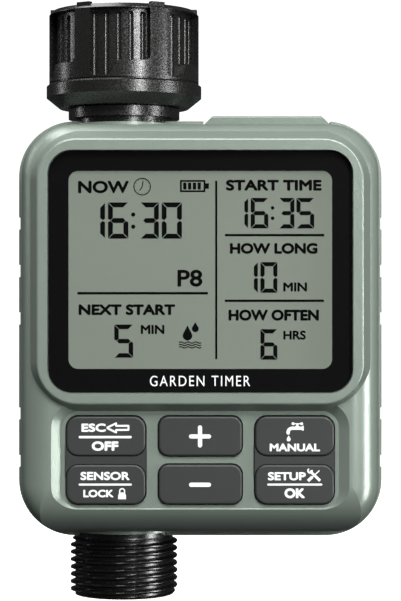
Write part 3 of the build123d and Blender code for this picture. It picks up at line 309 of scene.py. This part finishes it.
def digit(value, x0, x1, z0, z1, t):
    """Seven-segment figure with mitred ends and thin gaps; t is the width of a segment."""
    g = t * 0.10
    zm = (z0 + z1) / 2
    h = t / 2
    shapes = {
        "a": [(x0 + g, z1), (x1 - g, z1), (x1 - t - g, z1 - t), (x0 + t + g, z1 - t)],
        "d": [(x0 + g, z0), (x0 + t + g, z0 + t), (x1 - t - g, z0 + t), (x1 - g, z0)],
        "f": [(x0, z1 - g), (x0 + t, z1 - t - g), (x0 + t, zm + h + g * 0.4),
              (x0 + h, zm + g * 0.9), (x0, zm + h * 0.7)],
        "b": [(x1, z1 - g), (x1, zm + h * 0.7), (x1 - h, zm + g * 0.9),
              (x1 - t, zm + h + g * 0.4), (x1 - t, z1 - t - g)],
        "e": [(x0, z0 + g), (x0, zm - h * 0.7), (x0 + h, zm - g * 0.9),
              (x0 + t, zm - h - g * 0.4), (x0 + t, z0 + t + g)],
        "c": [(x1, z0 + g), (x1 - t, z0 + t + g), (x1 - t, zm - h - g * 0.4),
              (x1 - h, zm - g * 0.9), (x1, zm - h * 0.7)],
        "g": [(x0 + h + g, zm), (x0 + t + g * 0.6, zm + h), (x1 - t - g * 0.6, zm + h),
              (x1 - h - g, zm), (x1 - t - g * 0.6, zm - h), (x0 + t + g * 0.6, zm - h)],
    }
    return [shapes[s] for s in SEGMENTS[value]]


def lone_one(x0, x1, z0, z1):
    """The figure 1 of a narrow place: only its two upright segments."""
    t = x1 - x0
    return digit("1", x1 - 4 * t, x1, z0, z1, t)


def figures(z0, z1, t, *places):
    """A row of figures: each place is a figure with its left and right edges."""
    loops = []
    for value, x0, x1 in places:
        loops += lone_one(x0, x1, z0, z1) if value == "1" else digit(value, x0, x1, z0, z1, t)
    return loops


def rounded(cx, cz, width, height, corner, steps=10):
    """An outline with round corners."""
    points = []
    for sx, sz, start in ((1, 1, 0), (-1, 1, 90), (-1, -1, 180), (1, -1, 270)):
        for i in range(steps + 1):
            a = radians(start + 90 * i / steps)
            points.append((cx + sx * (width / 2 - corner) + corner * cos(a),
                           cz + sz * (height / 2 - corner) + corner * sin(a)))
    return points


# Ink border, printed inside the window, and the caption on it.
BORDER = {"width": 71.6, "height": 56.95, "corner": 5.6}
VIEW = {"width": 62.05, "height": 46.6, "corner": 2.3}
VIEW_Z = -64.6
BORDER_Y = -25.13
CAPTION_Y = -25.165

lens_low, lens_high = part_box("display_window")
lens_x = (lens_low[0] + lens_high[0]) / 2 / MM
lens_z = (lens_low[2] + lens_high[2]) / 2 / MM
border = plate("window_border", ring(rounded(lens_x, lens_z, **BORDER),
                                     rounded(lens_x, VIEW_Z, **VIEW)),
               BORDER_Y, INK, "housing")
border.visible_shadow = False
NODES["display_window"].visible_shadow = False
words("window_caption", "GARDEN TIMER", 7.04, 30.64, -91.98, -89.50, CAPTION_Y, PRINT, "housing",
      thick=0.01, spacing=1.22)

# Display contents. A box is its left, right, low and high edges.
DISPLAY_Y = -22.605
SMALL_BOLD = 0.11


def lcd_words(name, text, x0, x1, z0, z1, bold=0.17):
    words(name, text, x0, x1, z0, z1, DISPLAY_Y, SEGMENT, "housing", bold=bold)


def lcd_marks(name, loops):
    plate(name, loops, DISPLAY_Y, SEGMENT, "housing")


lcd_words("lcd_now", "NOW", -10.03, 2.00, -46.42, -43.45)
lcd_words("lcd_start_time", "START TIME", 24.99, 47.63, -45.81, -43.20)
lcd_words("lcd_how_long", "HOW LONG", 25.91, 46.65, -60.76, -58.18)
lcd_words("lcd_how_often", "HOW OFTEN", 25.58, 46.98, -76.59, -73.94)
lcd_words("lcd_next_start", "NEXT START", -9.91, 12.93, -75.26, -72.68)
lcd_words("lcd_min_left", "MIN", 4.82, 10.39, -79.72, -77.57, bold=SMALL_BOLD)
lcd_words("lcd_min_right", "MIN", 38.56, 44.16, -69.66, -67.52, bold=SMALL_BOLD)
lcd_words("lcd_hrs", "HRS", 38.56, 43.90, -81.08, -78.92, bold=SMALL_BOLD)
lcd_words("lcd_program", "P8", 13.50, 19.41, -68.53, -64.49, bold=0.14)

CLOCK_X, CLOCK_Z = 5.15, -44.85
TICK_IN, TICK_OUT = 1.55, 1.72
clock = ring(disc(CLOCK_X, CLOCK_Z, 2.08, 40), disc(CLOCK_X, CLOCK_Z, 1.86, 40))
clock += stroke([(5.35, -43.6), (5.15, -44.9), (4.55, -45.75)], 0.22)
for hour in range(12):
    a = radians(30 * hour)
    clock += stroke([(CLOCK_X + TICK_IN * cos(a), CLOCK_Z + TICK_IN * sin(a)),
                     (CLOCK_X + TICK_OUT * cos(a), CLOCK_Z + TICK_OUT * sin(a))], 0.14)
lcd_marks("lcd_clock", clock)

cell = [bar(14.10, 20.10, -43.70, -43.28), bar(14.10, 20.10, -46.14, -45.72),
        bar(14.10, 14.52, -46.14, -43.28), bar(19.68, 20.10, -46.14, -43.28),
        bar(20.10, 20.95, -45.35, -44.07)]
CHARGE_STEP = 1.14
for i in range(4):
    cell.append(bar(14.86 + CHARGE_STEP * i, 15.62 + CHARGE_STEP * i, -45.52, -43.90))
lcd_marks("lcd_battery", cell)

NOW_ROW = (-57.14, -48.59, 1.14)  # low and high edges, and the width of a segment
now = figures(*NOW_ROW, ("1", -4.79, -3.65), ("6", -2.94, 1.87))
now += [disc(3.03, -51.45, 0.50), disc(3.03, -54.33, 0.50)]
now += figures(*NOW_ROW, ("3", 4.72, 9.09), ("0", 9.78, 14.55))
lcd_marks("lcd_clock_figures", now)

START_ROW = (-54.73, -47.52, 0.98)
HOW_LONG_ROW = (-69.97, -62.71, 0.98)
HOW_OFTEN_ROW = (-85.80, -78.59, 0.98)
NEXT_START_ROW = (-85.32, -77.50, 1.05)
program = figures(*START_ROW, ("1", 29.35, 30.23), ("6", 30.85, 35.00))
program += [disc(36.02, -49.88, 0.42), disc(36.02, -52.30, 0.42)]
program += figures(*START_ROW, ("3", 37.54, 41.17), ("5", 41.67, 45.87))
program += figures(*HOW_LONG_ROW, ("1", 31.59, 32.51), ("0", 33.14, 37.15))
program += figures(*HOW_OFTEN_ROW, ("6", 33.14, 37.15))
program += figures(*NEXT_START_ROW, ("5", -1.45, 3.01))
lcd_marks("lcd_program_figures", program)

rules = [bar(-10.20, 20.69, -70.36, -69.78), bar(22.43, 22.93, -85.68, -43.45),
         bar(24.75, 48.22, -56.60, -56.04), bar(24.70, 48.17, -72.14, -71.58)]
lcd_marks("lcd_rules", rules)


BELLY_START, BELLY_TURN, BELLY_STEPS = 35, 250, 24  # degrees of the round part of a drop


def drop(cx, tip, r, height):
    """A water drop: a point at the top and a round belly."""
    cz = tip - height + r
    points = [(cx, tip)]
    for i in range(BELLY_STEPS + 1):
        a = radians(BELLY_START - BELLY_TURN * i / BELLY_STEPS)
        points.append((cx + r * cos(a), cz + r * sin(a)))
    return points


WAVE_LEFT, WAVE_LENGTH, WAVE_HEIGHT, WAVE_STEPS = 13.86, 5.27, 0.17, 24
water = [drop(15.88, -77.71, 1.13, 3.54), drop(17.73, -76.93, 0.80, 2.35)]
for row in (-81.75, -82.32, -82.88):
    wave = [(WAVE_LEFT + WAVE_LENGTH * i / WAVE_STEPS,
             row + WAVE_HEIGHT * sin(2 * pi * 3 * i / WAVE_STEPS))
            for i in range(WAVE_STEPS + 1)]
    water += stroke(wave, 0.24)
lcd_marks("lcd_water", water)

# Key legends, each on the body of its key.
KEY_PRINT_Y = -24.5 + 0.01  # sunk a little into the key's face
KEY_PRINT_THICK = 0.035


def key_print(name, loops, key):
    plate(name, loops, KEY_PRINT_Y, PRINT, key + "_body", thick=KEY_PRINT_THICK)


def key_words(name, text, x0, x1, z0, z1, key, bold=SMALL_BOLD):
    words(name, text, x0, x1, z0, z1, KEY_PRINT_Y, PRINT, key + "_body",
          bold=bold, thick=KEY_PRINT_THICK)


key_words("legend_esc", "ESC", -9.12, -3.38, -102.80, -100.79, "key_esc_off", bold=0.13)
key_print("legend_arrow", stroke([(-3.15, -101.83), (-0.95, -100.75), (-0.95, -101.35),
                                  (1.95, -101.35), (1.95, -102.31), (-0.95, -102.31),
                                  (-0.95, -102.91), (-3.15, -101.83)], 0.46), "key_esc_off")
key_print("legend_esc_rule", [pill(-9.78, 2.75, -104.29, -103.73)], "key_esc_off")
key_words("legend_off", "OFF", -6.71, -0.40, -107.27, -104.98, "key_esc_off", bold=0.16)
key_words("legend_sensor", "SENSOR", -9.36, 2.25, -114.17, -112.19, "key_sensor_lock")
key_print("legend_sensor_rule", [pill(-9.78, 2.75, -115.45, -114.96)], "key_sensor_lock")
key_words("legend_lock", "LOCK", -8.69, -1.56, -118.22, -116.40, "key_sensor_lock")
key_print("legend_padlock", [pill(-0.46, 1.40, -118.65, -117.05),
                             bar(-0.46, 1.40, -118.65, -117.75)]
          + stroke([(-0.10, -117.3)] + arc(0.47, -116.75, 0.57, 180, 0) + [(1.04, -117.3)], 0.32),
          "key_sensor_lock")
key_print("legend_plus", [pill(16.24, 21.44, -104.35, -103.35),
                          pill(18.34, 19.34, -106.45, -101.25)], "key_plus")
key_print("legend_minus", [pill(16.24, 21.44, -115.74, -114.74)], "key_minus")
key_words("legend_manual", "MANUAL", 35.27, 47.13, -107.39, -105.52, "key_manual")
key_print("legend_tap", [
    disc(40.78, -100.84, 0.34), disc(42.78, -100.84, 0.34), bar(40.78, 42.78, -100.96, -100.72),
    bar(41.52, 42.04, -101.6, -100.8), disc(41.78, -101.75, 0.52), bar(40.6, 43.0, -102.3, -101.52),
    bar(42.92, 43.28, -102.48, -101.3), disc(39.62, -103.0, 0.42), drop(39.74, -103.62, 0.48, 1.4)]
    + stroke(arc(40.62, -102.95, 1.04, 90, 180, 8), 0.78), "key_manual")
key_words("legend_setup", "SETUP", 34.84, 43.77, -114.22, -112.25, "key_setup_ok")
key_print("legend_setup_rule", [pill(34.70, 47.67, -115.44, -114.96)], "key_setup_ok")
key_words("legend_ok", "OK", 38.74, 43.56, -118.44, -116.05, "key_setup_ok", bold=0.16)
key_print("legend_tools",
          stroke([(44.35, -114.3), (47.0, -111.9)], 0.28)
          + stroke([(44.3, -114.35), (45.3, -113.4)], 0.72)
          + stroke([(44.75, -112.0), (47.15, -114.3)], 0.62)
          + stroke(arc(44.75, -111.95, 0.5, 20, -250, 8), 0.34), "key_setup_ok")


# ---------------------------------------------------------------- outlet with its helical thread
PITCH, CREST_R, ROOT_R = 1.814, 13.22, 12.06  # G3/4, 14 turns to the inch
THREAD_TOP, OUTLET_END = -129.9, -144.2
THREAD_PHASE = 132.14  # depth below the origin of a groove's bottom at angle zero
FLANK, GROOVE_CUT, FLANK_SLOPE = 1.12, 0.42, 2.1  # shape of the groove across one pitch
FADE_TOP, FADE_END = 0.9, 1.1  # length over which the thread runs out at each end
UNDERCUT_R, UNDERCUT_LOW = 12.0, -129.65
END_R = 12.15
BORE_R, BORE_MOUTH, BORE_TOP, BORE_CHAMFER = 6.8, 0.7, -112.0, 0.3
AROUND = 128
SLICES_PER_TURN = 14
SPIGOT_TOP = -111.3
UNDERCUT_LEVELS = [-125.5, -129.3, -129.6]
THREAD_SLICES = (-129.8, -143.95)  # heights of the first slice and of the limit for the last
LAST_LEVELS = [-144.0, OUTLET_END]
# Radius and height down the spigot from its top: O-ring groove, then the flange.
SHANK = [(9.9, SPIGOT_TOP), (10.1, -111.31), (10.1, -116.0), (8.7, -116.01), (8.7, -118.2),
         (10.1, -118.21), (10.1, -123.1), (13.0, -123.11), (13.0, -125.39), (12.0, -125.4)]


def thread_radius(z, turn):
    """Radius of the thread at height z and at a part of a turn round it."""
    if z >= UNDERCUT_LOW:
        return UNDERCUT_R
    phase = ((z + THREAD_PHASE) / PITCH - (turn - 0.5)) % 1.0
    groove = max(0.0, 1 - abs(phase - 0.5) / 0.5 * FLANK)
    rise = min(1.0, max(0.0, (1 - groove - GROOVE_CUT) * FLANK_SLOPE))
    fade_in = min(1.0, max(0.0, (THREAD_TOP - z) / FADE_TOP))
    fade_out = min(1.0, max(0.0, (z - OUTLET_END) / FADE_END))
    return min(ROOT_R + (CREST_R - ROOT_R) * rise * fade_in,
               END_R + (CREST_R - END_R) * fade_out)


def outlet():
    """The same outlet as the CAD node, with a true right-hand G3/4 helix on it."""
    slices = []
    z, z_limit = THREAD_SLICES
    while z > z_limit:
        slices.append(z)
        z -= PITCH / SLICES_PER_TURN
    rings = [[(r, z)] * AROUND for r, z in SHANK]
    for z in UNDERCUT_LEVELS + slices + LAST_LEVELS:
        rings.append([(thread_radius(z, i / AROUND), z) for i in range(AROUND)])
    for r, z in ((BORE_R + BORE_MOUTH, OUTLET_END), (BORE_R, OUTLET_END + BORE_MOUTH),
                 (BORE_R, BORE_TOP), (BORE_R + BORE_CHAMFER, SPIGOT_TOP)):
        rings.append([(r, z)] * AROUND)
    bm = bmesh.new()
    grid = []
    for level in rings:
        grid.append([bm.verts.new((r * cos(2 * pi * i / AROUND) * MM,
                                   r * sin(2 * pi * i / AROUND) * MM, z * MM))
                     for i, (r, z) in enumerate(level)])
    for a, b in zip(grid, grid[1:] + grid[:1]):
        for i in range(AROUND):
            j = (i + 1) % AROUND
            face = bm.faces.new((a[i], b[i], b[j], a[j]))
            face.smooth = True
    mesh = finished("outlet_threaded", bm)
    mesh.set_sharp_from_angle(angle=radians(50))
    piece = link("outlet_threaded", mesh, BLACK_SMOOTH, "housing")
    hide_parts("outlet_spigot")


outlet()


# ---------------------------------------------------------------- floor and light
FLOOR_FRONT, FLOOR_BACK, FLOOR_SIDE = -3.0, 1.2, 5.0
SWEEP_R, SWEEP_STEPS = 0.8, 12
WALL_TOP = 4.0
FLOOR_GAP = 0.012  # the timer hangs from its tap, just clear of the floor
FLOOR_GLOW = 0.9
WORLD_COLOR, WORLD_STRENGTH = (0.9, 0.92, 0.95, 1), 0.05


def stage():
    """A pale sweep: flat under the object, rising softly far behind it."""
    bm = bmesh.new()
    profile = [(FLOOR_FRONT, 0.0), (FLOOR_BACK, 0.0)]
    for i in range(1, SWEEP_STEPS + 1):
        a = radians(90 * i / SWEEP_STEPS)
        profile.append((FLOOR_BACK + SWEEP_R * sin(a), SWEEP_R * (1 - cos(a))))
    profile.append((FLOOR_BACK + SWEEP_R, WALL_TOP))
    low = cad_box[0][2] - FLOOR_GAP
    rows = [[bm.verts.new((x, y, z + low)) for x in (-FLOOR_SIDE, FLOOR_SIDE)]
            for y, z in profile]
    for a, b in zip(rows, rows[1:]):
        face = bm.faces.new((a[0], a[1], b[1], b[0]))
        face.smooth = True
    mesh = bpy.data.meshes.new("floor")
    bm.to_mesh(mesh)
    bm.free()
    floor = bpy.data.objects.new("floor", mesh)
    bpy.context.collection.objects.link(floor)
    mat = material("pale_floor", srgb(250, 250, 250), 0.8, grain_mm=3.0, grain_depth=0.01,
                   tone_vary=0.01)
    shader = mat.node_tree.nodes["Principled BSDF"]
    shader.inputs["Emission Color"].default_value = (1, 1, 1, 1)
    shader.inputs["Emission Strength"].default_value = FLOOR_GLOW
    mesh.materials.append(mat)
    floor.visible_diffuse = False
    floor.visible_glossy = False


def softbox(name, place, aim, width, height, power):
    """A rectangular lamp at a place, turned to its aim; power in watts."""
    light = bpy.data.lights.new(name, "AREA")
    light.shape = "RECTANGLE"
    light.size = width
    light.size_y = height
    light.energy = power
    lamp = bpy.data.objects.new(name, light)
    lamp.location = place
    lamp.rotation_euler = (Vector(aim) - Vector(place)).to_track_quat("-Z", "Y").to_euler()
    bpy.context.collection.objects.link(lamp)


stage()
CENTRE = (BODY_X * MM, 0, EYE_Z * MM)
softbox("top_box", (-0.18, -0.06, 0.55), CENTRE, 0.6, 0.30, 3.0)
softbox("fill_box", (0.02, -0.80, 0.66), CENTRE, 0.7, 0.28, 8.3)
softbox("key_box", (0.42, -0.86, 0.36), CENTRE, 0.13, 0.95, 8.8)
softbox("right_box", (0.66, -0.24, -0.18), CENTRE, 0.19, 0.40, 4.6)
softbox("left_box", (-0.65, 0.14, 0.22), CENTRE, 0.07, 0.5, 0.7)

world = bpy.data.worlds.new("studio")
world.use_nodes = True
background = world.node_tree.nodes["Background"]
background.inputs["Color"].default_value = WORLD_COLOR
background.inputs["Strength"].default_value = WORLD_STRENGTH
bpy.context.scene.world = world
bpy.context.scene.view_settings.view_transform = "Standard"
